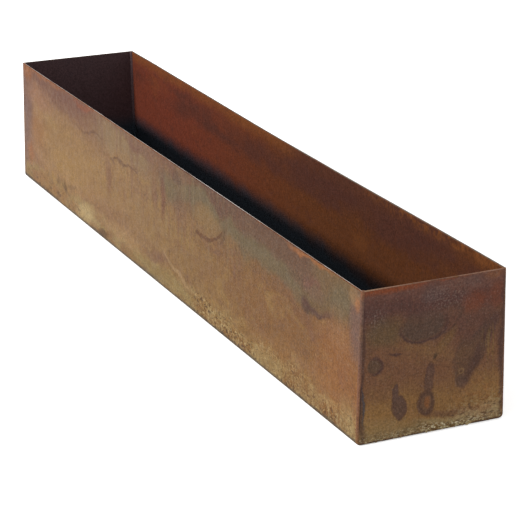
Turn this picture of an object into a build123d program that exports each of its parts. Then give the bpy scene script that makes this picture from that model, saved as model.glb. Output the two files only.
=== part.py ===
from build123d import *
import os

# Trough planter of weathering steel: one sheet folded into a U, two end plates, and the weld
# runs that join them. X runs along the trough, Y from its front wall to its back wall, and Z
# up from its underside. The origin is the centre of the underside.

# Driving dimensions, in millimetres
length = 930.0
width = 156.0  # across the foot
height = 150.0
sheet = 2.0
wall_lean = 3.0  # how far each long wall leans in from its foot to its rim
fold_radius = 5.0  # outside of the two long bottom folds
ground_radius = 2.0  # outside of the welded corners, after grinding
root_gap = 0.6  # left between the cut edges before welding
fillet_leg = 2.0  # reach of the weld metal along each inside face
front_bow = 1.2  # how much further each long rim has pulled in at its middle
back_bow = 3.5
wall_foot = 8.0  # height where a wall leaves its stiff fold and starts to bow
drain_hole_count = 5
drain_hole_diameter = 12.0
drain_hole_pitch = 180.0

half_length = length / 2
half_width = width / 2
sheet_end = half_length - sheet - root_gap  # the folded sheet's cut end, short of the end plate
plate_inset = sheet + root_gap  # the plate's edge, in from the outside of the walls and floor
weld_reach = plate_inset + fillet_leg  # the weld's inner toes, in from the outside
ends = {"left": -1, "right": 1}  # the way each end faces along X
walls = {"front": -1, "back": 1}  # the way each wall faces along Y

# Corners of the weld metal's section, each as its distances in from the end and in from the
# wall or floor: it fills the open corner outside, the root gap, and a small fillet inside
weld_corners = [
    (0, 0),
    (0, plate_inset),
    (sheet, plate_inset),
    (sheet, weld_reach),
    (weld_reach, sheet),
    (plate_inset, sheet),
    (plate_inset, 0),
]


def side_at(level):
    """Give the outside of the leaning walls at a height, as a distance from the middle."""
    return half_width - wall_lean * level / height


def trough_outline(inset):
    """Draw the trough's cross-section, inset from its outside, as a closed line with a flat top."""
    foot, rim = side_at(inset) - inset, side_at(height) - inset
    floor_and_walls = FilletPolyline(
        (-rim, height),
        (-foot, inset),
        (foot, inset),
        (rim, height),
        radius=fold_radius - inset,
    )
    Line(floor_and_walls @ 1, floor_and_walls @ 0)


def wall_outline(facing, level, bow):
    """Draw one long wall's section at a height, with its middle pulled in by the bow."""
    faces = []
    for y in (facing * side_at(level), facing * (side_at(level) - sheet)):
        left_end, middle, right_end = (-sheet_end, y), (0, y - facing * bow), (sheet_end, y)
        if bow:
            faces.append(Spline(left_end, middle, right_end, tangents=((1, 0), (1, 0))))
        else:
            faces.append(Line(left_end, right_end))
    outside, inside = faces
    Line(outside @ 0, inside @ 0)
    Line(outside @ 1, inside @ 1)


def weld_section(end_facing, wall_facing, level):
    """Sketch the weld metal's section at a height in one upright corner, its outside ground round."""
    corners = []
    for from_end, from_wall in weld_corners:
        x = end_facing * (half_length - from_end)
        y = wall_facing * (side_at(level) - from_wall)
        corners.append((x, y))
    section = Polygon(*corners, align=None)
    fillet(section.vertices().sort_by_distance(corners[0])[0], ground_radius)


def save(piece, name):
    """Label a finished piece and write it under its own name."""
    piece.part.label = name
    export_step(piece.part, f"parts/{name}.step")


os.makedirs("parts", exist_ok=True)

# One sheet folded into front wall, floor and back wall, with drain holes along the floor
with BuildPart() as folded_trough_sheet:
    with BuildSketch(Plane.YZ):
        with BuildLine():
            trough_outline(0)
        make_face()
        with BuildLine():
            trough_outline(sheet)
        make_face(mode=Mode.SUBTRACT)
    extrude(amount=sheet_end, both=True)
    split(bisect_by=Plane.XY.offset(wall_foot), keep=Keep.BOTTOM)
    for wall, rim_bow in (("front", front_bow), ("back", back_bow)):
        for level, bow in ((wall_foot, 0), (height, rim_bow)):
            with BuildSketch(Plane.XY.offset(level)):
                with BuildLine():
                    wall_outline(walls[wall], level, bow)
                make_face()
        loft(ruled=True)
    with GridLocations(drain_hole_pitch, 1, drain_hole_count, 1):
        Hole(drain_hole_diameter / 2)
save(folded_trough_sheet, "folded_trough_sheet")

for end, end_facing in ends.items():
    # Flat plate that closes one end, standing inside the line of the walls and floor
    with BuildPart() as end_plate:
        with BuildSketch(Plane.YZ.offset(end_facing * half_length)):
            with BuildLine():
                trough_outline(plate_inset)
            make_face()
        extrude(amount=-end_facing * sheet)
    save(end_plate, f"{end}_end_plate")

    # Upright weld runs, from the rim down to where the folds begin
    for wall, wall_facing in walls.items():
        with BuildPart() as corner_weld:
            for level in (fold_radius, height):
                with BuildSketch(Plane.XY.offset(level)):
                    weld_section(end_facing, wall_facing, level)
            loft(ruled=True)
        save(corner_weld, f"{end}_{wall}_corner_weld")

    # Floor weld run, round both folds and along the floor between them
    with BuildPart() as floor_weld:
        fold_centre_y = side_at(fold_radius) - fold_radius
        with BuildLine(Plane.YZ.offset(end_facing * half_length)) as floor_edge:
            front_fold = CenterArc((-fold_centre_y, fold_radius), fold_radius, 180, 90)
            Line(front_fold @ 1, (fold_centre_y, 0))
            CenterArc((fold_centre_y, fold_radius), fold_radius, 270, 90)
        with BuildSketch(Plane.XY.offset(fold_radius)):
            weld_section(end_facing, walls["front"], fold_radius)
        sweep(path=floor_edge.wire())
    save(floor_weld, f"{end}_floor_weld")
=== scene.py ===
import math
import random

import bmesh
import bpy
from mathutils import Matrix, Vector, noise


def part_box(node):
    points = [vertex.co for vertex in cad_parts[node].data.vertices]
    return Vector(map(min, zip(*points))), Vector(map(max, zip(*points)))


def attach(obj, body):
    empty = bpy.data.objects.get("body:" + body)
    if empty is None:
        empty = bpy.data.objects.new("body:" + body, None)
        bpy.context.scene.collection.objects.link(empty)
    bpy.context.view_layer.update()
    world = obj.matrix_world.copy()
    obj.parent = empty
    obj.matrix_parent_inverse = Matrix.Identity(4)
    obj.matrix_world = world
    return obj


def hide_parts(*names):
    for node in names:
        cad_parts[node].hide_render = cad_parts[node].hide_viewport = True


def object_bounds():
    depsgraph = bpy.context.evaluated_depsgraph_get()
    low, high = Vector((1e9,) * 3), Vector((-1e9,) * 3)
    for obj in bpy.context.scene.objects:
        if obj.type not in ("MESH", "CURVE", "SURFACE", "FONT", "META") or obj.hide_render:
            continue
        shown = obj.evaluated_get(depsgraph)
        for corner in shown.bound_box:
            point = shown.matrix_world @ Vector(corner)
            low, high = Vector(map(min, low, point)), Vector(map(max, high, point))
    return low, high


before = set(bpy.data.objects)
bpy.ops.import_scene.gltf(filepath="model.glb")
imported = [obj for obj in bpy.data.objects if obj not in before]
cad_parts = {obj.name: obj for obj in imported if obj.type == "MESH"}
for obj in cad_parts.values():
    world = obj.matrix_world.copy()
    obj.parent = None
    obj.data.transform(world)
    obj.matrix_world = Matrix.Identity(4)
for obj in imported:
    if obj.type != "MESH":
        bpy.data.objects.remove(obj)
cad_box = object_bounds()

# Looks of a weathering-steel trough planter: folded sheet, end plates, ground welds, lime crust.
# Shapes and node materials are worked out in millimetres; Blender and the frame use metres.

MM = 0.001


def frame_box(node):
    """A CAD node's box in millimetres."""
    low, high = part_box(node)
    return low / MM, high / MM


# ---------------------------------------------------------------- sizes

HALF_LENGTH, _, HEIGHT = cad_box[1] / MM
plate_low, plate_high = frame_box("right_end_plate")
weld_low, weld_high = frame_box("right_front_corner_weld")
SHEET_END = frame_box("folded_trough_sheet")[1].x
SHEET = plate_high.x - plate_low.x
PLATE_INSET = plate_low.z  # the plate's edges, in from the outside of the walls and floor
WELD_REACH = HALF_LENGTH - weld_low.x  # the welds' inner toes, in from the outside
FOLD = weld_low.z  # outside radius of the long bottom folds
RIM_SIDE = -weld_high.y + WELD_REACH  # outside of the walls at the rim, from the middle
LEAN = 3.0  # the walls lean in this much from foot to rim
FOOT_SIDE = RIM_SIDE + LEAN
FOLD_SIDE = FOOT_SIDE - LEAN * FOLD / HEIGHT - FOLD  # centre of the folds
GRIND = 2.0  # radius of the ground outer corners
RIM_ROUND = 0.45  # the cut rims are dressed to this radius
FRONT_BOW = 1.2  # the long rims have pulled in this much at their middles
BACK_BOW = 3.5
WALL_FOOT = 8.0  # the walls bow from this height up
CELL = 4.0  # spacing of the meshes
SAME = 1e-3  # vertices this near a place are taken to be on it
HOLE_RADIUS = 6.0
HOLES = [-360.0, -180.0, 0.0, 180.0, 360.0]  # drain holes along the floor
QUARTER = [math.radians(a) for a in range(0, 91, 15)]  # where a small quarter round has points

# Material slots of the folded sheet, of the end plates, and of the welds
FRONT, INSIDE, BACK, UNDERSIDE, FRONT_RIM_HIGHLIGHT, BACK_RIM = range(6)
PLATE_OUTSIDE, PLATE_INSIDE, PLATE_RIM = range(3)
BEAD, FILLET, LIME = range(3)


def side_at(z):
    """Outside of the leaning walls at a height, from the middle."""
    return FOOT_SIDE - LEAN * z / HEIGHT


# ---------------------------------------------------------------- small helpers


def smooth_step(low, high, value):
    t = min(max((value - low) / (high - low), 0.0), 1.0)
    return t * t * (3 - 2 * t)


def ripple(point, size, seed):
    """Smooth noise from -1 to 1, with features of about the given size."""
    return noise.noise(Vector(point) / size + Vector((seed, seed * 1.7, -seed)))


def add_object(name, data):
    thing = bpy.data.objects.new(name, data)
    bpy.context.scene.collection.objects.link(thing)
    return thing


def make_piece(name, bm, materials, node):
    """Finish a mesh that was built in millimetres as the piece that stands for a CAD node."""
    bmesh.ops.recalc_face_normals(bm, faces=bm.faces)
    bmesh.ops.scale(bm, vec=(MM, MM, MM), verts=bm.verts)
    mesh = bpy.data.meshes.new(name)
    bm.to_mesh(mesh)
    bm.free()
    for material in materials:
        mesh.materials.append(material)
    for polygon in mesh.polygons:
        polygon.use_smooth = True
    mesh.set_sharp_from_angle(angle=math.radians(35))
    piece = add_object(name, mesh)
    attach(piece, "root")
    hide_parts(node)


# ---------------------------------------------------------------- folded sheet


def section_points(inset):
    """The trough's section from front rim to back rim, inset from its outside, as (y, z)."""
    top, bottom = HEIGHT - 2, FOLD + 1  # no other level lies nearer the rim or the fold
    levels = [HEIGHT - RIM_ROUND]
    z = math.floor(top / CELL) * CELL
    while z > bottom:
        levels.append(z)
        z -= CELL
    levels.append(FOLD)
    wall = [(side_at(z) - inset, z) for z in levels]
    radius = FOLD - inset
    arc = [(FOLD_SIDE + radius * math.cos(a), FOLD - radius * math.sin(a)) for a in QUARTER[1:-1]]
    cells = math.floor(FOLD_SIDE / CELL)
    floor_y = [-FOLD_SIDE] + [k * CELL for k in range(-cells, cells + 1)] + [FOLD_SIDE]
    points = [(-y, z) for y, z in wall + arc]
    points += [(y, inset) for y in floor_y]
    points += [(y, z) for y, z in reversed(wall + arc)]
    return points


def rim_points():
    """The dressed back rim, from its outside to its inside, as (y, z)."""
    rounding = []
    for a in QUARTER[2::2]:
        rounding.append((RIM_ROUND * (1 - math.cos(a)), HEIGHT - RIM_ROUND * (1 - math.sin(a))))
    points = [(RIM_SIDE - y, z) for y, z in rounding]
    points.append((RIM_SIDE - SHEET * 0.5, HEIGHT))
    points += [(RIM_SIDE - SHEET + y, z) for y, z in reversed(rounding)]
    return points


def bowed(x, y, z):
    """Where the long walls have pulled in and dented."""
    if abs(y) < FOLD_SIDE:
        return y
    side = 1 if y > 0 else -1
    t = 1 - abs(x) / SHEET_END
    rise = max(0.0, (z - WALL_FOOT) / (HEIGHT - WALL_FOOT))
    bow = (BACK_BOW if side > 0 else FRONT_BOW) * t * t * (3 - 2 * t) * rise
    # Broad dents and smaller ones, held back by the welded ends and by the folds
    free = smooth_step(0, 60, SHEET_END - abs(x)) * smooth_step(0, 45, z)
    dent = 0.4 * ripple((x, side, z * 1.4), 140, 3 + side) * free
    dent += 0.1 * ripple((x, side, z), 42, 9 + side) * free
    return y - side * (bow + dent)


def trough_sheet():
    """Outer and inner skins, dressed rims, cut ends and punched drain holes of the sheet."""
    bm = bmesh.new()
    cells = math.floor((SHEET_END - 1) / CELL)
    stations = [-SHEET_END] + [k * CELL for k in range(-cells, cells + 1)] + [SHEET_END]
    outer, inner, rim = section_points(0), section_points(SHEET), rim_points()
    ring = outer + rim + list(reversed(inner)) + [(-y, z) for y, z in reversed(rim)]
    skin, cap, count = len(outer), len(rim), len(ring)
    rows = [[bm.verts.new((x, bowed(x, y, z), z)) for y, z in ring] for x in stations]
    patch = 3 * CELL  # half the side of the square of floor that each drain hole replaces
    for s in range(len(stations) - 1):
        x = (stations[s] + stations[s + 1]) / 2
        for i in range(count):
            j = (i + 1) % count
            y, z = (ring[i][0] + ring[j][0]) / 2, (ring[i][1] + ring[j][1]) / 2
            if z < SHEET * 1.1 and abs(y) < patch and any(abs(x - h) < patch for h in HOLES):
                continue
            face = bm.faces.new((rows[s][i], rows[s][j], rows[s + 1][j], rows[s + 1][i]))
            if skin - 1 <= i < skin + cap:
                face.material_index = BACK_RIM
            elif 2 * skin + cap - 1 <= i < 2 * skin + cap + cap // 2:
                face.material_index = FRONT_RIM_HIGHLIGHT  # the inner half of it, painted as a bright highlight line; the outer half takes the front wall's rust
            elif i >= skin + cap:
                face.material_index = INSIDE
            elif abs(y) < FOLD_SIDE + 2:
                face.material_index = UNDERSIDE
            else:
                face.material_index = FRONT if y < 0 else BACK
    for row in (rows[0], rows[-1]):
        for i in range(skin - 1):
            facing = skin + cap + (skin - 1 - i)  # the inner point that faces outer point i
            bm.faces.new((row[i], row[i + 1], row[facing - 1], row[facing]))
        bm.faces.new([row[k] for k in range(skin - 1, skin + cap + 1)])
        bm.faces.new([row[k % count] for k in range(2 * skin + cap - 1, count + 1)])
    for hole in HOLES:
        punch(bm, hole, patch)
    return bm


def punch(bm, hole, patch):
    """Fill a square gap in both skins of the floor with a round drain hole and its wall."""
    lip_width = 0.35
    lips = []
    for z, burr in ((0.0, 0.35), (SHEET, -0.25)):
        border = []
        for v in bm.verts:
            reach = max(abs(v.co.x - hole), abs(v.co.y))
            if abs(reach - patch) < SAME and abs(v.co.z - z) < SAME:
                border.append(v)
        border.sort(key=lambda v: math.atan2(v.co.y, v.co.x - hole))
        circle, lip = [], []
        for v in border:
            a = math.atan2(v.co.y, v.co.x - hole)
            radius = HOLE_RADIUS + 0.15 * ripple((math.cos(a), math.sin(a), hole), 0.6, 5)
            outside = radius + lip_width
            circle.append(bm.verts.new((hole + outside * math.cos(a), outside * math.sin(a), z)))
            lip.append(bm.verts.new((hole + radius * math.cos(a), radius * math.sin(a), z + burr)))
        for near, far in ((border, circle), (circle, lip)):
            bridge(bm, near, far, UNDERSIDE if z == 0 else INSIDE)
        lips.append(lip)
    bridge(bm, lips[0], lips[1], UNDERSIDE)


def bridge(bm, near, far, slot):
    """Join two closed loops of the same length with quads."""
    for k in range(len(near)):
        j = (k + 1) % len(near)
        face = bm.faces.new((near[k], near[j], far[j], far[k]))
        face.material_index = slot


# ---------------------------------------------------------------- end plates


def end_plate(facing):
    """A flat plate with slight waves, its rim dressed round like the sheet's."""
    bm = bmesh.new()
    radius = FOLD - PLATE_INSET
    outline = [(RIM_SIDE - PLATE_INSET, HEIGHT)]
    outline += [(FOLD_SIDE + radius * math.cos(a), FOLD - radius * math.sin(a)) for a in QUARTER]
    outline += [(-y, z) for y, z in reversed(outline)]
    bm.faces.new([bm.verts.new((facing * HALF_LENGTH, y, z)) for y, z in outline])
    across, up = math.floor((FOOT_SIDE - PLATE_INSET) / CELL), math.floor(HEIGHT / CELL)
    cuts = [((0, k * CELL, 0), (0, 1, 0)) for k in range(-across, across + 1)]
    cuts += [((0, 0, k * CELL), (0, 0, 1)) for k in range(1, up + 1)]
    cuts += [((0, 0, HEIGHT - RIM_ROUND), (0, 0, 1))]
    for point, normal in cuts:
        geometry = bm.verts[:] + bm.edges[:] + bm.faces[:]
        bmesh.ops.bisect_plane(bm, geom=geometry, plane_co=point, plane_no=normal, dist=1e-4)
    inner = bmesh.ops.extrude_face_region(bm, geom=bm.faces[:])["geom"]
    for v in inner:
        if isinstance(v, bmesh.types.BMVert):
            v.co.x -= facing * SHEET
    top = [e for e in bm.edges if all(abs(v.co.z - HEIGHT) < SAME for v in e.verts)]
    top = [e for e in top if abs(e.verts[0].co.x - e.verts[1].co.x) < SAME]
    bmesh.ops.bevel(bm, geom=top, offset=RIM_ROUND * 0.9, segments=3, affect="EDGES", profile=0.5)
    # The welds hold the plate flat at its edges, and its rim is nearly straight
    for v in bm.verts:
        inset = min(side_at(v.co.z) - PLATE_INSET - abs(v.co.y), v.co.z - PLATE_INSET)
        free = smooth_step(0, 22, inset) * (1 - 0.7 * smooth_step(120, HEIGHT, v.co.z))
        v.co.x += facing * 0.35 * (ripple((facing, v.co.y, v.co.z), 60, 4) - 0.5) * free
    bm.normal_update()
    for face in bm.faces:
        centre = face.calc_center_median()
        if centre.z > HEIGHT - RIM_ROUND:
            face.material_index = PLATE_RIM
        elif centre.x * facing > HALF_LENGTH - SHEET / 2:
            face.material_index = PLATE_OUTSIDE
        else:
            face.material_index = PLATE_INSIDE
    return bm


# ---------------------------------------------------------------- welds

FILLET_FACES = range(10, 15)  # faces of the weld's section that show inside the trough
BEAD_PITCH = 3.2  # from one ripple of a weld to the next


def weld_section(ripple_height, groove):
    """Section of a weld as (in from the end, in from the wall): ground arc, root and fillet."""
    points = [(GRIND * (1 - math.sin(a)), GRIND * (1 - math.cos(a))) for a in QUARTER]
    points += [(groove * 0.4, PLATE_INSET - 0.35), (groove, PLATE_INSET)]
    points += [(SHEET, PLATE_INSET), (SHEET, WELD_REACH)]
    for t in (0.2, 0.4, 0.6, 0.8):
        crown = 0.5 * math.sin(math.pi * t) + ripple_height * math.sin(math.pi * t)
        along = SHEET + (WELD_REACH - SHEET) * t
        points.append((along + crown * 0.7, WELD_REACH - (WELD_REACH - SHEET) * t + crown * 0.7))
    points += [(WELD_REACH, SHEET), (PLATE_INSET, SHEET), (PLATE_INSET, 0)]
    return points


def weld_run(facing, path, grooved=None):
    """Sweep the weld's section along a path of (outside point, inward direction, travel).

    Between the grooved heights it is undercut beside the end plate.
    """
    bm = bmesh.new()
    rows = []
    for (y, z), (inward_y, inward_z), travel in path:
        bead = 0.22 * math.sin(2 * math.pi * travel / BEAD_PITCH)
        bead += 0.15 * ripple((travel, 0, 0), 9, 2)
        groove = 0.0
        if grooved:
            low, high = grooved
            groove = 0.8 * smooth_step(low - 5, low + 5, z) * smooth_step(-high - 5, 5 - high, -z)
        row = []
        for k, (from_end, from_wall) in enumerate(weld_section(bead, groove)):
            uneven = 0.0
            if 0 < k < len(QUARTER):
                uneven = 0.12 + 0.12 * ripple((travel, k * 0.4, facing), 7, 6)
            from_end += uneven * 0.7
            from_wall += uneven * 0.7
            x = facing * (HALF_LENGTH - from_end)
            row.append(bm.verts.new((x, y + inward_y * from_wall, z + inward_z * from_wall)))
        rows.append(row)
    for a, b in zip(rows, rows[1:]):
        for k in range(len(a)):
            j = (k + 1) % len(a)
            face = bm.faces.new((a[k], a[j], b[j], b[k]))
            face.material_index = FILLET if k in FILLET_FACES else BEAD
    bm.faces.new(rows[0])
    bm.faces.new(rows[-1])
    return bm


def corner_path(wall):
    """The upright run in the corner of one wall (-1 front, 1 back), from the fold to the rim."""
    steps = 145
    path = []
    for k in range(steps + 1):
        z = FOLD + (HEIGHT - FOLD) * k / steps
        path.append(((wall * side_at(z), z), (-wall, 0), z))
    return path


def floor_path():
    """The run round the front fold, along the floor and round the back fold."""
    steps = 150  # along the floor, about 1 mm each
    turns = range(0, 91, 9)
    path = []
    travel = 0.0
    for wall in (-1, 1):
        if wall > 0:
            for k in range(1, steps):
                y = -FOLD_SIDE + 2 * FOLD_SIDE * k / steps
                path.append(((y, 0), (0, 1), travel + k))
            travel += steps
        for degrees in turns if wall < 0 else reversed(turns):
            a = math.radians(degrees)
            out_y, out_z = wall * math.cos(a), -math.sin(a)
            outside = (wall * FOLD_SIDE + FOLD * out_y, FOLD + FOLD * out_z)
            path.append((outside, (-out_y, -out_z), travel))
            travel += 0.8
    return path


def add_crust(bm, facing, count, seed):
    """Stick knobbly grains of lime and rust along a bottom edge, thickest right of its middle."""
    reach = 71
    rng = random.Random(seed)
    for _ in range(count):
        size = rng.uniform(0.35, 0.8) if rng.random() < 0.85 else rng.uniform(0.8, 1.3)
        y = rng.gauss(16, 14) if rng.random() < 0.45 else rng.uniform(-reach, 62)
        y = min(max(y, -reach), reach)
        z = 1.0 + abs(rng.gauss(0, 1.6))
        centre = Vector((facing * (HALF_LENGTH - (0.0 if z > GRIND else 0.4)), y, z))
        grain = bmesh.ops.create_icosphere(bm, subdivisions=2, radius=1.0)["verts"]
        stretch = Vector((rng.uniform(0.25, 0.5), rng.uniform(0.9, 2.2), rng.uniform(0.5, 0.9)))
        spin = rng.uniform(0, 6.28)
        for v in grain:
            knob = 1 + 0.5 * ripple(v.co + Vector((spin, y, z)), 0.8, 1)
            v.co = Vector([a * b for a, b in zip(v.co, stretch)]) * size * knob + centre
        for face in {f for v in grain for f in v.link_faces}:
            face.material_index = LIME


# ---------------------------------------------------------------- patina materials

SPECULAR = 0.15


class Patina:
    """A rust material built of nodes: colours laid over one another through masks in mm."""

    def __init__(self, name, across, base, seed, wander=(9, 2.6)):
        self.material = bpy.data.materials.new(name)
        self.material.use_nodes = True
        self.tree = self.material.node_tree
        self.shader = self.tree.nodes["Principled BSDF"]
        self.shader.inputs["Specular IOR Level"].default_value = SPECULAR
        self.seed = seed
        self.colour = (*base, 1)
        self.crust = 0.0
        metres = self.node("TexCoord").outputs["Object"]
        self.place = self.vector("MULTIPLY", metres, (1 / MM, 1 / MM, 1 / MM))
        self.x, self.y, self.z = self.split(self.place)
        # Stains are placed by warped coordinates, so that their edges wander
        wide = self.noise_node(28, detail=2, offset=11).outputs["Color"]
        tight = self.noise_node(6, offset=23).outputs["Color"]
        warp = self.vector("ADD", self.centred(wide, wander[0]), self.centred(tight, wander[1]))
        sideways, _, upward = self.split(warp)
        self.u = self.math("ADD", self.x if across == "x" else self.y, sideways)
        self.v = self.math("ADD", self.z, upward)
        self.flat = self.node("CombineXYZ", X=self.u, Y=self.v).outputs[0]

    def node(self, kind, **inputs):
        """A new node, with inputs linked or set by name."""
        node = self.tree.nodes.new(f"ShaderNode{kind}")
        for name, value in inputs.items():
            self.set(node.inputs[name], value)
        return node

    def set(self, socket, value):
        if isinstance(value, bpy.types.NodeSocket):
            self.tree.links.new(value, socket)
        else:
            socket.default_value = value

    def math(self, operation, a, b=0.0, c=0.0):
        node = self.node("Math")
        node.operation = operation
        for socket, value in zip(node.inputs, (a, b, c)):
            self.set(socket, value)
        return node.outputs[0]

    def vector(self, operation, a, b=(0, 0, 0)):
        node = self.node("VectorMath")
        node.operation = operation
        self.set(node.inputs[0], a)
        self.set(node.inputs[1], b)
        return node.outputs["Value" if operation == "LENGTH" else "Vector"]

    def split(self, vector):
        return self.node("SeparateXYZ", Vector=vector).outputs

    def centred(self, noise_colour, reach):
        """Noise from 0 to 1 turned into a push of up to the reach either way."""
        middle = self.vector("SUBTRACT", noise_colour, (0.5, 0.5, 0.5))
        return self.vector("MULTIPLY", middle, (reach * 2, reach * 2, reach * 2))

    def noise_node(self, size, stretch=(1, 1, 1), detail=3, offset=0, rough=0.55, twist=0):
        shift = self.seed * 7.3 + offset * 3.1
        location = (shift, -shift * 0.7, shift * 0.4)
        scale = [1 / (size * s) for s in stretch]
        place = self.node("Mapping", Vector=self.place, Location=location, Scale=scale).outputs[0]
        settings = {"Detail": detail, "Roughness": rough, "Distortion": twist}
        return self.node("TexNoise", Vector=place, Scale=1.0, **settings)

    def noise(self, size, **settings):
        return self.noise_node(size, **settings).outputs["Fac"]

    def wavy(self, value, *waves):
        """A value with waves added, each of a size and a height either way in mm, and an offset."""
        for size, height, offset in waves:
            middle = self.math("SUBTRACT", self.noise(size, detail=4, offset=offset), 0.5)
            value = self.math("MULTIPLY_ADD", middle, height * 3, value)
        return value

    def ramp(self, value, low, high, start=0.0, end=1.0):
        """Smooth step from start at low to end at high; low may be above high."""
        node = self.node("MapRange")
        node.interpolation_type = "SMOOTHSTEP"
        for socket, number in zip(node.inputs[:5], (value, low, high, start, end)):
            self.set(socket, number)
        return node.outputs[0]

    def both(self, *masks):
        product = masks[0]
        for mask in masks[1:]:
            product = self.math("MULTIPLY", product, mask)
        return product

    def between(self, value, low, high, soft):
        """1 between low and high, falling to 0 over a soft width outside them."""
        return self.both(self.ramp(value, low - soft, low), self.ramp(value, high + soft, high))

    def reach(self, *ellipses):
        """Distance from the nearest of some ellipses, 1 on its edge: (centre, radii, tilt)."""
        nearest = None
        for centre, radii, tilt in ellipses:
            turn = (0, 0, math.radians(tilt))
            mapping = self.node("Mapping", Location=(*centre, 0), Rotation=turn, Scale=(*radii, 1))
            mapping.vector_type = "TEXTURE"
            self.set(mapping.inputs["Vector"], self.flat)
            away = self.vector("LENGTH", mapping.outputs[0])
            nearest = away if nearest is None else self.math("SMOOTH_MIN", nearest, away, 0.3)
        return nearest

    def blob(self, centre, radii, soft=1.0, tilt=0):
        return self.ramp(self.reach((centre, radii, tilt)), 1 + soft / 2, 1 - soft / 2)

    def watermark(self, reach, crisp=0.1, hollow=0.6, core=0.35):
        """A dried stain: crisp and strong at its outline, fainter towards its middle."""
        outline = self.ramp(reach, 1 + crisp, 1 - crisp)
        return self.both(outline, self.ramp(reach, core, 1.0, 1 - hollow))

    def ring(self, reach, width):
        off = self.math("ABSOLUTE", self.math("SUBTRACT", reach, 1.0))
        return self.ramp(off, width, 0.0)

    def paint(self, mask, colour, amount=1.0):
        """Lay a colour over what is there."""
        node = self.node("Mix")
        node.data_type = "RGBA"
        under, over, result = node.inputs[6], node.inputs[7], node.outputs[2]  # its colour sockets
        self.set(node.inputs[0], mask if amount == 1.0 else self.math("MULTIPLY", mask, amount))
        self.set(under, self.colour)
        self.set(over, (*colour, 1))
        self.colour = result

    def tint(self, value, low, high, colour, amount=1.0, zone=None):
        """Lay a colour where a value has gone from low to high, inside a zone if there is one."""
        mask = self.ramp(value, low, high)
        self.paint(mask if zone is None else self.both(mask, zone), colour, amount)

    def paint_stains(self, stains):
        for centre, radii, colour, amount, *shape in stains:
            self.paint(self.blob(centre, radii, *shape), colour, amount)

    def shade(self, value, low, high):
        """Darken to low times where the value is small and lighten to high times where large."""
        node = self.node("VectorMath")
        node.operation = "SCALE"
        self.set(node.inputs[0], self.colour)
        self.set(node.inputs["Scale"], self.ramp(value, 0.3, 0.7, low, high))
        self.colour = node.outputs[0]

    def finish(self, roughness=(0.5, 0.72), height=0.25):
        """Grain, roughness and bump, the same all over but for the crust."""
        grain = self.noise(1.7, detail=4, offset=41, rough=0.7)
        pits = self.noise(7, offset=43)
        self.shade(grain, 0.72, 1.28)
        rough = self.ramp(pits, 0.3, 0.7, roughness[0], roughness[1])
        rough = self.math("MULTIPLY_ADD", self.crust, 0.18, rough)
        lumps = self.both(self.noise(2.4, detail=4, offset=47, rough=0.65), self.crust)
        total = 0.0
        for part, weight in ((grain, 0.3), (pits, 0.5), (lumps, 2.0)):
            total = self.math("MULTIPLY_ADD", part, weight, total)
        bump = self.node("Bump", Strength=1.0, Distance=height * MM, Height=total)
        self.set(self.shader.inputs["Normal"], bump.outputs[0])
        self.set(self.shader.inputs["Base Color"], self.colour)
        self.set(self.shader.inputs["Roughness"], rough)
        return self.material


# Colours of the patina, as linear reflectances
TAN = (0.192, 0.107, 0.045)
WARM_TAN = (0.19, 0.098, 0.032)
PINK_TAN = (0.182, 0.09, 0.05)
OCHRE = (0.165, 0.082, 0.032)
OCHRE_BROWN = (0.13, 0.071, 0.029)
PUDDLE_OCHRE = (0.15, 0.093, 0.034)
ORANGE_BROWN = (0.119, 0.053, 0.016)
ORANGE = (0.2, 0.07, 0.018)
RED_ORANGE = (0.165, 0.04, 0.012)
MAUVE = (0.096, 0.041, 0.028)
RED_MAUVE = (0.09, 0.034, 0.022)
GREY_MAUVE = (0.074, 0.04, 0.032)
END_MAUVE = (0.074, 0.029, 0.024)
DARK_MAUVE = (0.066, 0.03, 0.018)
RIM_MAUVE = (0.116, 0.047, 0.032)
PINK_MAUVE = (0.128, 0.056, 0.038)
PURPLE = (0.056, 0.025, 0.02)
STREAK_PURPLE = (0.064, 0.027, 0.021)
BLUE_PURPLE = (0.095, 0.058, 0.052)
CORNER_MAUVE = (0.1, 0.052, 0.038)
GREY_TEAL = (0.08, 0.053, 0.024)
TEAL = (0.08, 0.065, 0.035)
PALE_TEAL = (0.14, 0.094, 0.05)
OLIVE = (0.086, 0.056, 0.024)
RIM_OLIVE = (0.084, 0.046, 0.021)
OLIVE_DARK = (0.062, 0.039, 0.024)
GOLD = (0.18, 0.104, 0.03)
DEEP_GOLD = (0.14, 0.074, 0.022)
LOW_GOLD = (0.205, 0.104, 0.03)
WARM_GOLD = (0.22, 0.115, 0.036)
BRIGHT_GOLD = (0.23, 0.12, 0.04)
PALE_GOLD = (0.235, 0.145, 0.058)
SAND = (0.215, 0.135, 0.065)
PALE_SAND = (0.225, 0.145, 0.07)
YELLOW_CRUST = (0.225, 0.15, 0.066)
PALE_CRUST = (0.3, 0.225, 0.108)
FOOT_CRUST = (0.27, 0.18, 0.09)
FOOT_LIME = (0.22, 0.15, 0.066)
LIME_WASH = (0.186, 0.126, 0.052)
OLIVE_GOLD = (0.15, 0.102, 0.038)
WHITE_CRUST = (0.52, 0.46, 0.31)
DARK_BROWN = (0.046, 0.023, 0.012)
LENS_BROWN = (0.056, 0.024, 0.016)
OVAL_BROWN = (0.062, 0.036, 0.026)
TIDE_BROWN = (0.062, 0.026, 0.014)
TIDE_RUST = (0.074, 0.03, 0.011)
NEAR_END_BROWN = (0.14, 0.061, 0.028)
FAR_END_BROWN = (0.112, 0.052, 0.021)
WELD_BROWN = (0.098, 0.047, 0.03)
DUST = (0.205, 0.152, 0.108)
GREY_DUST = (0.23, 0.178, 0.148)
FOOT_SHADE = (0.036, 0.034, 0.028)
BLUE_BLACK = (0.025, 0.037, 0.05)
RED_BROWN = (0.108, 0.023, 0.011)
INNER_BROWN = (0.076, 0.0245, 0.006)
INNER_PURPLE = (0.056, 0.018, 0.012)
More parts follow.
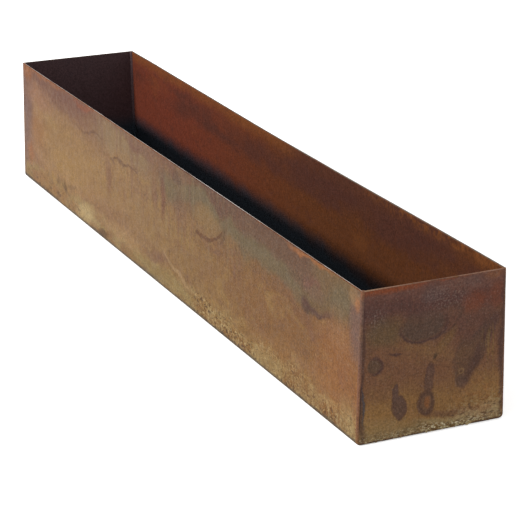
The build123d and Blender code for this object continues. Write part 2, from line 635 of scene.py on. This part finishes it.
INNER_GOLD = (0.15, 0.048, 0.011)
INNER_SHADE = (0.066, 0.048, 0.055)
# Cut rims, each with its lighter and its darker steel; the front rim's steel is painted bright as a
# highlight
FRONT_STEEL_HIGHLIGHT = ((0.47, 0.42, 0.38), (0.25, 0.18, 0.14))
END_STEEL = ((0.185, 0.098, 0.064), (0.095, 0.044, 0.027))
BACK_STEEL = ((0.085, 0.06, 0.04), (0.1, 0.045, 0.025))
# A painted highlight laid on part of the front rim
RIM_HIGHLIGHT_STEEL = (0.62, 0.58, 0.54)
WARM_STEEL = (0.24, 0.15, 0.095)


def fine_grain(p, amount, dust_colour=DUST):
    """Faint runs down the plate, and fine dark and light flecks."""
    runs = p.noise(1.6, stretch=(1, 1, 22), offset=3)
    p.shade(runs, 1 - 0.07 * amount, 1 + 0.07 * amount)
    flecks = p.noise(3.4, detail=5, offset=5, rough=0.72)
    p.tint(flecks, 0.56, 0.72, DARK_BROWN, 0.5 * amount)
    p.tint(flecks, 0.42, 0.28, TAN, 0.45 * amount)
    dust = p.noise(1.9, offset=6, rough=0.75)
    p.tint(dust, 0.54, 0.72, dust_colour, 0.34 * amount)
    p.tint(dust, 0.46, 0.3, DARK_BROWN, 0.3 * amount)


def mottled(p, strength):
    """Clouds of a warmer and a greyer rust at three sizes, drawn out like dried water."""
    clouds = p.noise(120, stretch=(1.7, 1, 0.8), detail=4, offset=1, twist=0.5)
    p.tint(clouds, 0.5, 0.64, MAUVE, 0.3 * strength)
    p.tint(clouds, 0.48, 0.36, GOLD, 0.3 * strength)
    patches = p.noise(36, stretch=(1.5, 1, 0.85), detail=5, offset=6, rough=0.6, twist=0.9)
    p.tint(patches, 0.52, 0.68, MAUVE, 0.34 * strength)
    p.tint(patches, 0.47, 0.33, GOLD, 0.38 * strength)
    # Broken edges of old puddles follow the patches' outlines
    off_edge = p.math("ABSOLUTE", p.math("SUBTRACT", patches, 0.56))
    broken = p.ramp(p.noise(22, detail=2, offset=13), 0.5, 0.6)
    p.tint(off_edge, 0.016, 0, TIDE_BROWN, 0.42 * strength, broken)
    spots = p.noise(11, detail=5, offset=2, rough=0.65)
    p.tint(spots, 0.54, 0.7, PURPLE, 0.22 * strength)
    p.tint(spots, 0.44, 0.3, GOLD, 0.28 * strength)


def bottom_crust(p, height, strength, grains=1):
    """Lime that has crept up from the bottom edge: a smooth wash, and pitted grains on it."""
    edge = p.noise(26, stretch=(1.5, 1.5, 0.6), detail=5, offset=7, rough=0.68)
    level = p.math("MULTIPLY_ADD", p.math("SUBTRACT", edge, 0.5), 60, p.v)
    band = p.ramp(level, height + 12, height - 8)
    p.paint(band, DEEP_GOLD, 0.35 * strength)
    patches = p.noise(19, stretch=(1.5, 1.5, 0.6), detail=4, offset=15)
    p.tint(patches, 0.45, 0.62, LIME_WASH, 0.75 * strength, band)
    grainy = p.both(band, grains)
    clumps = p.noise(8, stretch=(1.3, 1.3, 0.8), detail=4, offset=17, rough=0.7)
    p.tint(clumps, 0.5, 0.58, YELLOW_CRUST, 0.4 * strength, grainy)
    specks = p.noise(3.4, stretch=(1.2, 1.2, 0.9), detail=4, offset=9, rough=0.7)
    p.tint(specks, 0.53, 0.62, PALE_CRUST, 0.62 * strength, grainy)
    runs = p.noise(3, stretch=(1.2, 1.2, 4), offset=16)
    p.tint(runs, 0.56, 0.66, PALE_CRUST, 0.32 * strength, grainy)
    pits = p.noise(4.2, stretch=(1.2, 1.2, 0.9), offset=14, rough=0.6)
    p.tint(pits, 0.46, 0.38, DARK_BROWN, 0.88 * strength, grainy)
    p.crust = grainy


def foot_line(p, top=3.2, amount=0.55):
    """Painted shade: a dark line along the very foot, where the sheet or weld turns under."""
    ragged = p.wavy(p.z, (14, 0.9, 20), (45, 1.8, 22))
    p.tint(ragged, top, top - 2.2, FOOT_SHADE, amount)


def front_material():
    """The front wall: tan at its far end, partly a painted sheen, orange-brown at its near end, a
    mauve and grey rim.
    """
    p = Patina("patina_front", "x", OCHRE_BROWN, 1, wander=(10, 1.8))
    # Tan towards the far end: partly the rust's own colour, partly a painted sheen from the white
    # surroundings
    p.tint(p.u, 110, -300, TAN)
    p.tint(p.u, -370, -450, PINK_TAN, 0.8)
    p.tint(p.u, -60, 330, ORANGE_BROWN)
    mottled(p, 1)
    # Bloom under the rim: mauve at both ends, grey below it, sinking to the right
    level = p.wavy(p.v, (60, 15, 4))
    sunk = p.math("MULTIPLY_ADD", p.u, 0.08, level)
    p.tint(level, 98, 127, GREY_TEAL, 0.66, p.ramp(p.u, -40, 120))
    p.paint(p.both(p.between(sunk, 131, 141, 8), p.between(p.u, 70, 340, 50)), TEAL, 0.52)
    p.tint(level, 104, 128, PALE_TEAL, 0.55, p.between(p.u, -190, -60, 40))
    p.tint(level, 92, 128, MAUVE, 0.46, p.ramp(p.u, -150, -240))
    p.tint(level, 122, 142, MAUVE, 0.85, p.ramp(p.u, -170, -250))
    p.tint(level, 136, 148, MAUVE, 0.55, p.between(p.u, -170, 60, 40))
    bloom = p.both(p.ramp(sunk, 140, 151), p.between(p.u, 100, 350, 30))
    p.paint(bloom, DARK_MAUVE, 0.9)
    # Soft runs down the middle of the wall
    runs = p.noise(9, stretch=(1, 1, 9), offset=21)
    run_zone = p.both(p.between(p.u, -170, 190, 60), p.ramp(p.v, 40, 84))
    p.tint(runs, 0.52, 0.62, MAUVE, 0.34, run_zone)
    p.tint(runs, 0.47, 0.37, PALE_TEAL, 0.3, run_zone)
    bottom_crust(p, 25, 1, p.ramp(p.u, 0, 120, 0.12))
    p.paint_stains(FRONT_STAINS)
    # Tide lines left where water dried: a cup right of the middle, and a faint one far left
    cup_middle, cup_height, cup_curve = 104, 93.5, 0.000115
    rightward = p.math("MAXIMUM", p.math("SUBTRACT", p.x, cup_middle), 0)
    cup = p.math("MULTIPLY_ADD", p.math("POWER", rightward, 3), cup_curve, cup_height)
    over_tide = p.math("SUBTRACT", p.wavy(p.z, (12, 2, 17)), cup)
    tide_width = p.between(p.x, 93, 158, 4)
    p.paint(p.both(p.between(over_tide, -1.1, 1.1, 1.9), tide_width), TIDE_RUST, 0.92)
    p.tint(over_tide, 0, 6, OCHRE_BROWN, 0.4, p.both(p.ramp(p.v, 130, 112), tide_width))
    slope = p.math("MULTIPLY_ADD", p.u, -0.1, p.v)
    far_tide = p.both(p.between(slope, 121, 122, 2), p.between(p.u, -150, -80, 12))
    p.paint(far_tide, TIDE_BROWN, 0.6)
    puddle = p.reach(((379, 113), (36, 17), 6))
    p.tint(puddle, 1, 0.6, GREY_TEAL, 0.45)
    p.paint(p.both(p.watermark(puddle, 0.14, 1, 0.3), p.ramp(p.v, 113, 99)), LENS_BROWN)
    # The rim's rounding, grains in the bloom, lime by the near corner, blots on the far foot
    p.tint(p.z, HEIGHT - 0.5, HEIGHT - 0.1, DARK_MAUVE, 0.6)
    bright = p.noise(3, detail=4, offset=18, rough=0.7)
    p.tint(bright, 0.54, 0.66, PINK_TAN, 0.4, bloom)
    streaks = p.noise(3.2, stretch=(1, 1, 7), offset=19)
    creep = p.both(p.between(p.u, 400, 450, 14), p.ramp(p.v, 32, 16))
    p.tint(streaks, 0.53, 0.64, PALE_CRUST, 0.36, creep)
    far_foot = p.both(p.ramp(p.v, 44, 14), p.ramp(p.u, -190, -260))
    blots = p.noise(6, stretch=(1.7, 1, 1.2), detail=4, offset=24, rough=0.7)
    p.tint(blots, 0.53, 0.62, DARK_BROWN, 0.55, far_foot)
    fine_grain(p, 0.9)
    foot_line(p, 6.8, 0.62)
    return p.finish()


# Stains, listed: centre and radii in mm, colour and strength, and then softness and tilt
# where they are not 1 and 0
FRONT_STAINS = [
    ((-290, 78), (140, 34), GOLD, 0.35, 1.3),
    ((-456, 75), (7, 90), BLUE_PURPLE, 0.5),
    ((-446, 90), (17, 42), BLUE_PURPLE, 0.55, 1.2),
    ((-406, 76), (30, 17), ORANGE, 0.22, 1.2),
    ((-446, 143), (16, 10), ORANGE, 0.7),
    ((-244, 146), (30, 4), RED_ORANGE, 0.5),
    ((-380, 148), (60, 4), ORANGE, 0.45),
    ((-438, 41), (8, 14), ORANGE, 0.5, 1.1),
    ((-446, 10), (13, 9), LIME_WASH, 0.6, 1.1),
    ((-365, 11), (66, 11), OCHRE, 0.62, 1.2),
    ((-410, 3), (60, 4), DARK_BROWN, 0.45, 1, 2),
    ((-450, 116), (24, 26), MAUVE, 0.35, 1.2),
    ((300, 118), (150, 26), RIM_OLIVE, 0.34, 1.2),
    ((340, 32), (90, 16), WARM_TAN, 0.32, 1.3),
    ((-335, 30), (7, 5), DARK_BROWN, 0.4),
    ((-310, 28), (8, 6), DARK_BROWN, 0.55, 1, -20),
    ((-285, 35), (16, 3), DARK_BROWN, 0.3, 1, 5),
    ((-240, 15), (30, 12), PALE_CRUST, 0.6, 1.2, 4),
    ((-180, 11), (16, 4.5), DARK_BROWN, 0.6),
    ((-130, 26), (52, 9), PALE_SAND, 0.5, 1.2),
    ((-163, 86), (7, 22), MAUVE, 0.45, 1.1, 2),
    ((-14, 33), (40, 6), MAUVE, 0.42, 1.1, 8),
    ((38, 138), (14, 7), PURPLE, 0.5),
    ((20, 120), (30, 14), TEAL, 0.55, 1.1, -10),
    ((-24, 104), (7, 16), MAUVE, 0.35, 1.1, 6),
    ((-60, 140), (40, 5), MAUVE, 0.45),
    ((262, 118), (80, 10), TEAL, 0.35, 1.1, -2),
    ((-405, 120), (50, 14), PINK_TAN, 0.6, 1.2),
    ((370, 122), (20, 10), MAUVE, 0.75),
    ((425, 94), (20, 12), TAN, 0.3, 1.2),
    ((352, 101), (9, 9), LENS_BROWN, 0.8, 1, -20),
    ((366, 97), (19, 5), DARK_BROWN, 0.6, 1, 5),
    ((427, 124), (22, 19), TEAL, 0.5, 0.8),
    ((0, 107), (7, 22), RED_MAUVE, 0.6, 1.1, 5),
    ((50, 104), (20, 20), MAUVE, 0.35, 1.2),
    ((93, 106), (3, 4), TIDE_BROWN, 0.5, 0.9, 30),
    ((157, 108), (4, 9), TIDE_BROWN, 0.6, 1, -22),
    ((120, 112), (31, 13), PUDDLE_OCHRE, 0.55),
    ((38, 35), (36, 2.6), SAND, 0.6, 1.1, -13),
    ((-225, 121), (44, 1.6), TIDE_BROWN, 0.45, 1.1, 4),
    ((425, 62), (44, 42), ORANGE, 0.34, 1.2),
    ((446, 20), (18, 18), LIME_WASH, 0.36, 1.2),
    ((274, 14), (30, 8), LIME_WASH, 0.55, 1.2),
    ((345, 14), (40, 9), ORANGE_BROWN, 0.4, 1.3),
    ((-20, 14), (70, 7), OLIVE_GOLD, 0.6, 1.3, 3),
    ((-36, 5), (70, 3), OLIVE, 0.35, 1, 2),
    ((60, 14), (26, 9), OLIVE_GOLD, 0.4, 1.1),
    ((-320, 130), (60, 10), MAUVE, 0.5, 1, -3),
    ((-110, 27), (44, 10), TAN, 0.5, 1.3),
    ((459, 118), (13, 34), CORNER_MAUVE, 0.85, 0.9),
    ((360, 149), (44, 3.6), ORANGE, 0.75),
    ((452, 142), (11, 9), TAN, 0.45),
    ((456, 136), (6, 8), ORANGE, 0.5),
    ((462, 40), (3, 40), ORANGE, 0.25),
]


def drip(p, neck, bulb, colour, amount, edge=0.85):
    """A run that dried: its neck and bulb share one dark outline."""
    outline = p.reach(neck, bulb)
    p.tint(outline, 1, 0.7, colour, amount)
    p.paint(p.watermark(outline, 0.14, 0.75, 0.5), PURPLE, edge)


def end_material():
    """The near end: purple above and golden below, a dark oval, a ring and three drips."""
    p = Patina("patina_near_end", "y", NEAR_END_BROWN, 3, wander=(4.5, 1.5))
    mottled(p, 0.65)
    upper = p.wavy(p.v, (30, 10, 4))
    p.tint(upper, 84, 112, MAUVE, 0.4)
    p.tint(upper, 108, 126, END_MAUVE, 0.85)
    p.tint(upper, 130, 144, RIM_MAUVE, 0.75)
    p.tint(upper, 62, 26, LOW_GOLD, 0.75)
    bottom_crust(p, 11, 0.9)
    p.tint(p.v, 18, 4, FOOT_LIME, 0.42)
    p.paint_stains(END_STAINS)
    # The dark oval, with a second outline to its right, and the round spot by the front corner
    oval = p.reach(((-11, 107.5), (24, 17), 2))
    sunk_fill = p.both(p.ramp(oval, 1.04, 0.8), p.ramp(p.v, 126, 104, 0.35))
    p.paint(sunk_fill, OVAL_BROWN, 0.8)
    p.paint(p.both(p.ring(oval, 0.15), p.ramp(p.v, 122, 98)), PURPLE, 0.9)
    second = p.ring(p.reach(((4, 108), (26, 12), 24)), 0.16)
    p.paint(p.both(second, p.ramp(p.u, 0, 12)), DARK_MAUVE, 0.6)
    spot = p.reach(((-61, 75), (8, 7.6), 0))
    p.tint(spot, 1, 0.7, OLIVE_DARK, 0.65)
    p.paint(p.both(p.ring(spot, 0.35), p.ramp(p.u, -68, -60)), PURPLE, 0.9)
    # Three drips: a short one, one that ends in a ring round an orange core, and a broad one
    drip(p, ((-38, 45), (4.2, 11), -3), ((-34, 31), (7.8, 12), 6), GREY_MAUVE, 0.75, 0.72)
    drip(p, ((-3, 54), (5.2, 18), -6), ((-6, 30), (10, 12.5), 0), GREY_MAUVE, 0.55, 0.6)
    p.paint(p.ring(p.reach(((-5, 30), (7.5, 10), 0)), 0.4), DARK_MAUVE, 0.6)
    p.paint(p.blob((-4.2, 30.5), (3.2, 5.6)), ORANGE, 0.7)
    drip(p, ((46, 76), (12, 34), -30), ((32, 66), (11, 24), -4), OLIVE_DARK, 0.4, 0.34)
    p.paint(p.blob((52, 78), (4.5, 34), 1, -28), STREAK_PURPLE, 0.75)
    p.paint(p.blob((31, 46), (7, 7), 0.7), GREY_MAUVE, 0.5)
    p.paint(p.blob((41, 60), (6, 14), 1, -18), DARK_MAUVE, 0.5)
    p.paint(p.ring(p.reach(((30, 57), (2.4, 2.4), 0)), 0.5), TAN, 0.65)
    # Golden streaks, flaking lime and ochre towards the lower back corner
    streak = p.noise(3.5, stretch=(1, 1, 9), offset=8)
    p.tint(streak, 0.5, 0.64, GOLD, 0.45, p.blob((60, 72), (9, 26)))
    flakes = p.noise(4.2, stretch=(1.4, 1.4, 0.8), detail=5, offset=12, rough=0.7)
    flaking = p.blob((54, 12), (34, 16), 1.2)
    p.tint(flakes, 0.52, 0.58, PALE_CRUST, 0.55, flaking)
    p.tint(flakes, 0.47, 0.41, DARK_BROWN, 0.7, flaking)
    ochre = p.noise(9, stretch=(1.5, 1.5, 0.8), detail=4, offset=19, rough=0.65)
    p.tint(ochre, 0.5, 0.6, ORANGE, 0.34, p.blob((58, 26), (26, 20), 1.2))
    # Rough, dusty patches where the oxide is coarser
    coarse = p.reach(((-58, 122), (11, 10), 0), ((12, 132), (24, 14), 0))
    bright = p.noise(1.8, offset=18, rough=0.6)
    rough_patch = p.ramp(coarse, 1.5, 0.3)
    p.tint(bright, 0.5, 0.64, GREY_DUST, 0.34, rough_patch)
    p.tint(bright, 0.5, 0.38, PURPLE, 0.45, rough_patch)
    fine_grain(p, 0.8, GREY_DUST)
    foot_line(p)
    # Crisp flecks of lime along the foot, most of them right of the middle
    flecks = p.noise(2.2, stretch=(1.5, 1.5, 0.8), detail=5, offset=10, rough=0.75)
    thick_crust = p.between(p.u, 2, 40, 24)
    low_down = p.both(p.ramp(p.v, 12, 5), p.ramp(thick_crust, 0, 1, 0.35))
    p.tint(flecks, 0.48, 0.42, DARK_BROWN, 0.88, low_down)
    p.tint(flecks, 0.54, 0.575, WHITE_CRUST, 0.95, low_down)
    p.tint(flakes, 0.52, 0.6, PALE_CRUST, 0.2, p.blob((54, 8), (30, 12), 0.8))
    return p.finish()


END_STAINS = [
    ((-52, 106), (18, 13), OLIVE, 0.6),
    ((40, 100), (28, 18), END_MAUVE, 0.55, 1.2),
    ((62, 28), (24, 22), BRIGHT_GOLD, 0.45, 1.3),
    ((-58, 26), (24, 12), WARM_GOLD, 0.45, 1.3),
    ((56, 10), (28, 9), FOOT_CRUST, 0.78, 1.2),
    ((34, 142), (38, 8), PINK_MAUVE, 0.55, 1.1),
    ((-2, 137), (12, 7), BLUE_PURPLE, 0.45),
    ((40, 143), (10, 5), BLUE_PURPLE, 0.35),
    ((-46, 149), (34, 4), RED_ORANGE, 0.95),
    ((10, 150), (34, 1.6), RED_ORANGE, 0.6),
    ((42, 123), (13, 9), RED_ORANGE, 0.5, 1.1),
    ((66, 127), (9, 12), RED_ORANGE, 0.45, 1.1),
    ((62, 146), (10, 4), ORANGE, 0.4),
    ((-40, 84), (7, 1.3), PURPLE, 0.8, 0.9, -6),
    ((3.5, 77), (3, 2), DARK_BROWN, 0.8, 0.8, 40),
    ((14, 90), (14, 5), DEEP_GOLD, 0.5, 1, 50),
    ((-56, 14), (28, 9), PALE_GOLD, 0.55, 1.2),
    ((14, 11), (30, 2.2), PALE_CRUST, 0.35, 1.1, -5),
    ((16, 17), (26, 3), MAUVE, 0.45, 1, -4),
    ((74.5, 78), (4, 84), PURPLE, 0.8),
    ((-74, 70), (3, 90), PURPLE, 0.7),
    ((-71.8, 38), (1, 18), BLUE_BLACK, 0.6),
]


def back_material():
    """The back wall: the same rust, with a few runs down from the rim."""
    p = Patina("patina_back", "x", OCHRE_BROWN, 5, wander=(11, 3))
    p.tint(p.u, -60, 300, TAN, 0.7)
    p.tint(p.u, -40, -330, ORANGE_BROWN, 0.8)
    mottled(p, 0.9)
    level = p.wavy(p.v, (60, 24, 4))
    p.tint(level, 100, 126, GREY_TEAL, 0.65)
    p.tint(level, 120, 144, MAUVE, 0.85)
    bottom_crust(p, 19, 0.9)
    p.paint_stains(BACK_STAINS)
    drip(p, ((-120, 86), (4.5, 32), -4), ((-117, 54), (8, 18), -8), DARK_MAUVE, 0.4, 0.5)
    fine_grain(p, 0.9)
    foot_line(p, 6.8, 0.62)
    return p.finish()


BACK_STAINS = [
    ((455, 80), (8, 90), BLUE_PURPLE, 0.6),
    ((-456, 80), (8, 90), PURPLE, 0.6),
    ((-300, 108), (46, 22), OLIVE_DARK, 0.5, 0.6, 5),
    ((250, 104), (60, 14), GREY_TEAL, 0.6, 1, -3),
    ((330, 60), (60, 30), ORANGE, 0.25, 1.2),
    ((180, 14), (34, 7), PALE_CRUST, 0.5, 1.2),
    ((-220, 149), (60, 3), ORANGE, 0.7),
    ((60, 98), (17, 36), OLIVE_DARK, 0.4, 1.1, 8),
    ((66, 68), (10, 13), PURPLE, 0.32, 0.6),
    ((-20, 118), (90, 1.8), TIDE_BROWN, 0.45, 1.1, 2),
    ((330, 92), (50, 1.6), TIDE_BROWN, 0.4, 1.1, -3),
    ((-390, 60), (40, 44), ORANGE, 0.25, 1.2),
    ((90, 20), (70, 9), LIME_WASH, 0.5, 1.2, 2),
]


def far_end_material():
    """The far end: like the near one, with its own oval and drips."""
    p = Patina("patina_far_end", "y", FAR_END_BROWN, 7, wander=(4.5, 1.5))
    mottled(p, 0.7)
    upper = p.wavy(p.v, (30, 10, 4))
    p.tint(upper, 100, 126, DARK_MAUVE, 0.8)
    p.tint(upper, 60, 28, DEEP_GOLD, 0.8)
    bottom_crust(p, 11, 0.85)
    p.paint_stains(FAR_END_STAINS)
    oval = p.reach(((22, 98), (18, 14), 10))
    p.tint(oval, 1, 0.8, OLIVE_DARK, 0.7)
    p.paint(p.ring(oval, 0.16), PURPLE, 0.6)
    drip(p, ((-30, 74), (3.6, 19), 9), ((-33, 55), (6.5, 12), 4), DARK_MAUVE, 0.45, 0.6)
    fine_grain(p, 0.9)
    foot_line(p)
    return p.finish()


FAR_END_STAINS = [
    ((-74, 75), (3.6, 80), PURPLE, 0.75, 0.9),
    ((74, 75), (3.6, 80), PURPLE, 0.75, 0.9),
    ((-20, 149), (46, 3.4), RED_ORANGE, 0.85),
    ((-44, 118), (14, 9), RED_ORANGE, 0.45, 1.1),
    ((10, 28), (40, 12), GOLD, 0.4, 1.1),
    ((46, 60), (9, 26), OLIVE_DARK, 0.42, 0.8, -8),
    ((44, 38), (7.5, 8), PURPLE, 0.4, 0.6),
    ((-10, 84), (16, 1.4), PURPLE, 0.5, 1, 5),
]


def bleed(p, z, raggedness, outer, inner, colour, amount):
    """Rust that has bled out round the drain holes, on the face of the floor at a height."""
    for hole in HOLES:
        away = p.vector("LENGTH", p.vector("SUBTRACT", p.place, (hole, 0, z)))
        p.tint(p.wavy(away, (*raggedness, 12)), outer, inner, colour, amount)


def inside_material(name, across, seed, shade=0):
    """Inside faces: red rust above, and painted shade below, blue-black towards the bottom where
    the trough lies in shadow.
    """
    p = Patina(name, across, RED_BROWN, seed, wander=(7, 0.9))
    along = across == "x"  # the sheet's inside, and not a plate's
    clouds = p.noise(80, stretch=(1.6, 1.2, 0.8), offset=1)
    if along:
        p.tint(p.u, -350, 120, INNER_BROWN, 0.85)
        cloudy = p.both(p.ramp(clouds, 0.42, 0.58), p.between(p.v, 112, 128, 14))
        p.paint(cloudy, INNER_PURPLE, 0.75)
        p.tint(p.v, 133, 148, INNER_GOLD, 0.62, p.ramp(p.u, 100, -60, 0.25))
        p.tint(p.v, 104, 138, INNER_PURPLE, 0.68, p.between(p.u, 60, 340, 70))
        rubbed = p.both(p.ramp(p.v, 136, 148), p.ramp(p.u, 150, 300))
        p.tint(p.noise(8, detail=4, offset=11), 0.4, 0.6, INNER_GOLD, 0.8, rubbed)
    p.tint(clouds, 0.44, 0.32, INNER_GOLD, 0.3)
    spots = p.noise(15, stretch=(1.4, 1, 1), detail=4, offset=2, rough=0.6)
    p.tint(spots, 0.54, 0.72, INNER_PURPLE, 0.4)
    if along:
        p.shade(p.ramp(p.u, -100, 300, 0.7, 0.3), 0.86, 1)
    if shade:
        p.paint(1, INNER_SHADE, shade)
    p.shade(p.noise(3.4, detail=5, offset=5, rough=0.72), 0.86, 1.14)
    # Painted shade: blue-black towards the bottom, where the front wall's shadow falls; on the
    # sheet its edge is lower towards the near end
    sinking = p.ramp(p.u, -60, 360, 0, 13) if along else 0
    p.tint(p.math("ADD", p.v, sinking), 72, 46, BLUE_BLACK, 0.96)
    low_down = p.ramp(p.z, 44, 20)
    p.tint(clouds, 0.48, 0.64, OLIVE_DARK, 0.35, low_down)
    p.tint(spots, 0.5, 0.64, DARK_BROWN, 0.55, low_down)
    grit = p.noise(3, detail=4, offset=8, rough=0.7)
    p.tint(grit, 0.56, 0.66, DUST, 0.35, p.ramp(p.z, 16, 3))
    if along:
        bleed(p, SHEET, (7, 5), 22, 11, RED_BROWN, 0.8)
    return p.finish(roughness=(0.55, 0.75))


def underside_material():
    """The underside: blotchy brown, orange where water has run out of the drain holes."""
    p = Patina("patina_underside", "x", ORANGE_BROWN, 13)
    clouds = p.noise(70, detail=4, offset=1, twist=0.6)
    p.tint(clouds, 0.46, 0.62, DARK_BROWN, 0.7)
    p.tint(clouds, 0.46, 0.34, GOLD, 0.4)
    spots = p.noise(9, detail=5, offset=2, rough=0.7)
    p.tint(spots, 0.58, 0.7, YELLOW_CRUST, 0.5)
    p.tint(spots, 0.42, 0.32, PURPLE, 0.6)
    bleed(p, 0, (8, 6), 32, 13, RED_ORANGE, 0.7)
    fine_grain(p, 0.7)
    return p.finish()


def rim_material(name, steel, seed, specular=SPECULAR):
    """Cut edge of the sheet, with a painted highlight on the front rim, brightest along part of its
    middle.
    """
    light, dark = steel
    p = Patina(name, "x", light, seed)
    p.shader.inputs["Specular IOR Level"].default_value = specular
    p.tint(p.noise(26, detail=4, offset=1), 0.42, 0.6, dark, 0.8)
    p.tint(p.noise(5, detail=4, offset=2), 0.56, 0.7, ORANGE_BROWN, 0.6)
    # Painted highlight on the front rim: brightest between 110 and 190 mm along, warmer at its near
    # end
    in_front = p.ramp(p.y, -40, -68)
    p.paint(p.both(p.between(p.x, 110, 190, 50), in_front), RIM_HIGHLIGHT_STEEL, 0.75)
    p.tint(p.x, 425, 455, WARM_STEEL, 0.7, in_front)
    return p.finish(roughness=(0.5, 0.7), height=0.1)


def weld_material(name, base, seed):
    """Ground weld metal: purple-brown, with small rusty pits."""
    p = Patina(name, "y", base, seed)
    p.tint(p.noise(18, detail=4, offset=1), 0.46, 0.62, ORANGE_BROWN, 0.3)
    p.tint(p.noise(3.5, detail=4, offset=2), 0.56, 0.7, DARK_BROWN, 0.6)
    p.tint(p.v, 92, 62, ORANGE, 0.3)
    p.tint(p.z, 24, 6, DEEP_GOLD, 0.5)
    p.tint(p.z, 138, 147, ORANGE, 0.4)
    fine_grain(p, 0.8)
    foot_line(p)
    return p.finish(roughness=(0.45, 0.65), height=0.4)


def crust_material():
    """Grains of lime and rust stuck to the bottom edges."""
    p = Patina("lime_crust", "y", PALE_CRUST, 19)
    p.tint(p.noise(2, detail=4, offset=1), 0.5, 0.62, WHITE_CRUST, 0.85)
    p.tint(p.noise(7, offset=2), 0.46, 0.56, DEEP_GOLD, 0.9)
    return p.finish(roughness=(0.75, 0.9), height=0.3)


# ---------------------------------------------------------------- pieces

inside = inside_material("inside_rust_and_shade", "x", 9)
near_inside = inside_material("inside_rust_and_shade_near", "y", 10, 0.3)
far_inside = inside_material("inside_rust_and_shade_far", "y", 12, 0.8)
front_rim_highlight = rim_material("rim_front_highlight", FRONT_STEEL_HIGHLIGHT, 15)
end_rim = rim_material("rim_end", END_STEEL, 14, specular=0.04)
back_rim = rim_material("rim_back", BACK_STEEL, 16)
weld_steel = weld_material("weld_steel", WELD_BROWN, 17)
near_weld_steel = weld_material("weld_steel_near_front", CORNER_MAUVE, 18)
lime = crust_material()

sheet_materials = [front_material(), inside, back_material(), underside_material()]
sheet_materials += [front_rim_highlight, back_rim]
make_piece("folded_trough", trough_sheet(), sheet_materials, "folded_trough_sheet")
near_materials = [end_material(), near_inside, end_rim]
make_piece("near_end", end_plate(1), near_materials, "right_end_plate")
far_materials = [far_end_material(), far_inside, back_rim]
make_piece("far_end", end_plate(-1), far_materials, "left_end_plate")

GROOVED = (18, 59)  # heights between which the near front weld is undercut
GRAINS = {"left": 80, "right": 200}
for end, facing in (("left", -1), ("right", 1)):
    for wall, wall_facing in (("front", -1), ("back", 1)):
        near_front = (end, wall) == ("right", "front")
        bead = weld_run(facing, corner_path(wall_facing), GROOVED if near_front else None)
        steel = near_weld_steel if near_front else weld_steel
        name = f"{end}_{wall}_bead"
        # The far welds' fillets take the far plate's less red inside colour: painted shade in the
        # far inside corners
        fillet = inside if facing > 0 else far_inside
        make_piece(name, bead, [steel, fillet], f"{end}_{wall}_corner_weld")
    bead = weld_run(facing, floor_path())
    add_crust(bead, facing, GRAINS[end], 21 + facing)
    materials = [weld_steel, inside, lime]
    make_piece(f"{end}_floor_bead", bead, materials, f"{end}_floor_weld")

# ---------------------------------------------------------------- floor, light, camera


def stage_floor():
    """A pale floor that reads as white paper to the camera."""
    reach = 30.0
    drop = 0.0002  # keeps it clear of the trough's underside
    mesh = bpy.data.meshes.new("floor")
    corners = [(-reach, -reach), (reach, -reach), (reach, reach), (-reach, reach)]
    mesh.from_pydata([(x, y, -drop) for x, y in corners], [], [(0, 1, 2, 3)])
    floor = add_object("floor", mesh)
    paper = bpy.data.materials.new("pale_floor")
    paper.use_nodes = True
    tree = paper.node_tree
    shader = tree.nodes["Principled BSDF"]
    shader.inputs["Base Color"].default_value = (0.82, 0.82, 0.82, 1)
    shader.inputs["Roughness"].default_value = 0.9
    shader.inputs["Specular IOR Level"].default_value = 0.1
    shader.inputs["Emission Color"].default_value = (1, 1, 1, 1)
    light_path = tree.nodes.new("ShaderNodeLightPath")
    lift = tree.nodes.new("ShaderNodeMath")
    lift.operation = "MULTIPLY"
    tree.links.new(light_path.outputs["Is Camera Ray"], lift.inputs[0])
    lift.inputs[1].default_value = 0.55
    tree.links.new(lift.outputs[0], shader.inputs["Emission Strength"])
    mesh.materials.append(paper)


def studio_light():
    """Soft light from all round, and one soft key from the front that rakes over the rims."""
    world = bpy.data.worlds.new("studio")
    world.use_nodes = True
    tree = world.node_tree
    background = tree.nodes["Background"]
    background.inputs["Color"].default_value = (1, 1, 1, 1)
    light_path = tree.nodes.new("ShaderNodeLightPath")
    level = tree.nodes.new("ShaderNodeMapRange")
    tree.links.new(light_path.outputs["Is Camera Ray"], level.inputs["Value"])
    level.inputs["To Min"].default_value = 0.75
    level.inputs["To Max"].default_value = 1.0
    tree.links.new(level.outputs[0], background.inputs["Strength"])
    bpy.context.scene.world = world
    key_data = bpy.data.lights.new("key", "SUN")
    key_data.energy = 3.5
    key_data.angle = math.radians(7)
    key = add_object("key", key_data)
    rise = math.radians(31)
    towards = Vector((-0.04, -math.cos(rise), math.sin(rise)))
    key.rotation_euler = towards.to_track_quat("Z", "Y").to_euler()


def photo_camera():
    """A long lens above the front and to the right, at the photo's angle."""
    data = bpy.data.cameras.new("camera")
    data.sensor_width = 36
    data.lens = 140.79
    camera = add_object("camera", data)
    camera.location = (1.9917, -0.8847, 0.7868)
    looking = Vector((-0.85372, 0.39965, -0.33384))
    camera.rotation_euler = looking.to_track_quat("-Z", "Y").to_euler()
    bpy.context.scene.camera = camera


stage_floor()
studio_light()
photo_camera()
bpy.context.scene.view_settings.view_transform = "Standard"
